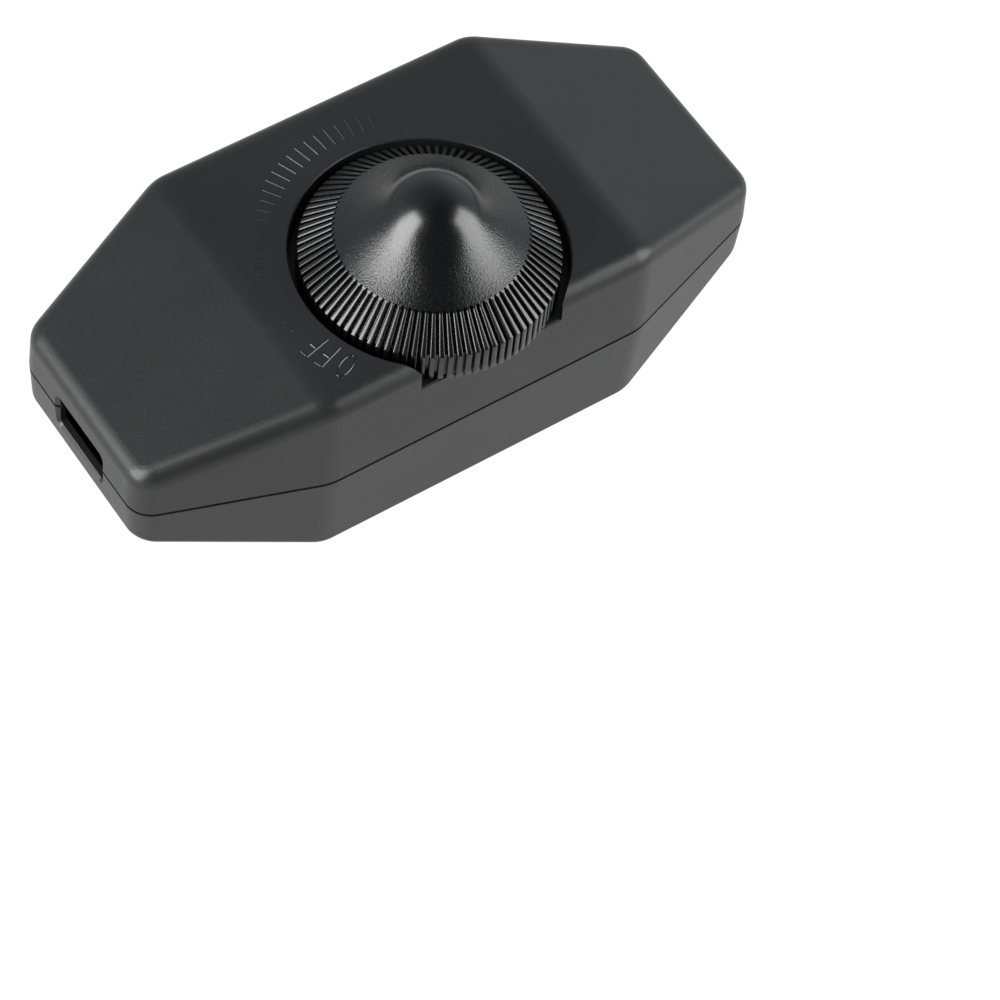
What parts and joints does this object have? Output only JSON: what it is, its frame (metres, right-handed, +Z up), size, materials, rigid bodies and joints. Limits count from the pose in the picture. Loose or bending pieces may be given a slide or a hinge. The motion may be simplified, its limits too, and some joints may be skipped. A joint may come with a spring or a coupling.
{
  "type": "rotary cord dimmer",
  "caption": "In-line cord dimmer: black two-part case with sloping ends, a ribbed hat-shaped dial let into its top, and a cord slot in each end.",
  "frame": {"origin": "middle of the case's flat underside", "axes": "+X along the cord, +Z up through the dial; the dial's rim stands through the -Y side"},
  "size_m": [0.09, 0.0435, 0.041],
  "materials": {
    "case_plastic": "black moulded plastic with a fine spark-eroded texture",
    "dial_plastic": "black moulded plastic, satin",
    "steel": "zinc-plated steel",
    "shaft_metal": "turned or sheet aluminium",
    "brass": "turned brass",
    "tinned": "tinned lug",
    "inner_plastic": "dark moulded plastic",
    "laminate": "brown paper laminate",
    "ferrite": "dull grey ferrite",
    "copper_wire": "enamelled copper wire",
    "capacitor_plastic": "yellow moulded box",
    "resistor_coat": "tan coating",
    "diode_glass": "red-brown sealed body",
    "terminal_plastic": "green moulded block",
    "clamp_plastic": "black moulded bar"
  },
  "bodies": {
    "case": {"top_cover": "case_plastic", "bottom_cover": "case_plastic", "case_screws": "steel", "pot_bushing": "brass", "bushing_washer": "steel", "bushing_nut": "brass", "pot_can": "steel", "track_wafer": "laminate", "track_terminals": "tinned", "switch_case": "inner_plastic", "switch_terminals": "tinned", "circuit_board": "laminate", "board_screws": "steel", "triac": "inner_plastic", "heat_sink": "shaft_metal", "triac_screw": "steel", "choke_core": "ferrite", "choke_winding": "copper_wire", "film_capacitor": "capacitor_plastic", "timing_capacitor": "capacitor_plastic", "timing_resistor": "resistor_coat", "damping_resistor": "resistor_coat", "diac": "diode_glass", "fuse_link": "resistor_coat", "line_terminal_block": "terminal_plastic", "load_terminal_block": "terminal_plastic", "terminal_cages": "brass", "terminal_screws": "steel", "line_cord_clamp": "clamp_plastic", "load_cord_clamp": "clamp_plastic", "clamp_screws": "steel"},
    "dial": {"dial_knob": "dial_plastic", "pot_shaft": "shaft_metal", "wiper_rotor": "inner_plastic", "wiper_spring": "brass"}
  },
  "joints": [
    {"name": "dial_turn", "type": "hinge", "parent": "case", "child": "dial", "pos_m": [0, -0.0065, 0.029], "axis": [0, 0, 1], "range_deg": [-300, 0]}
  ]
}
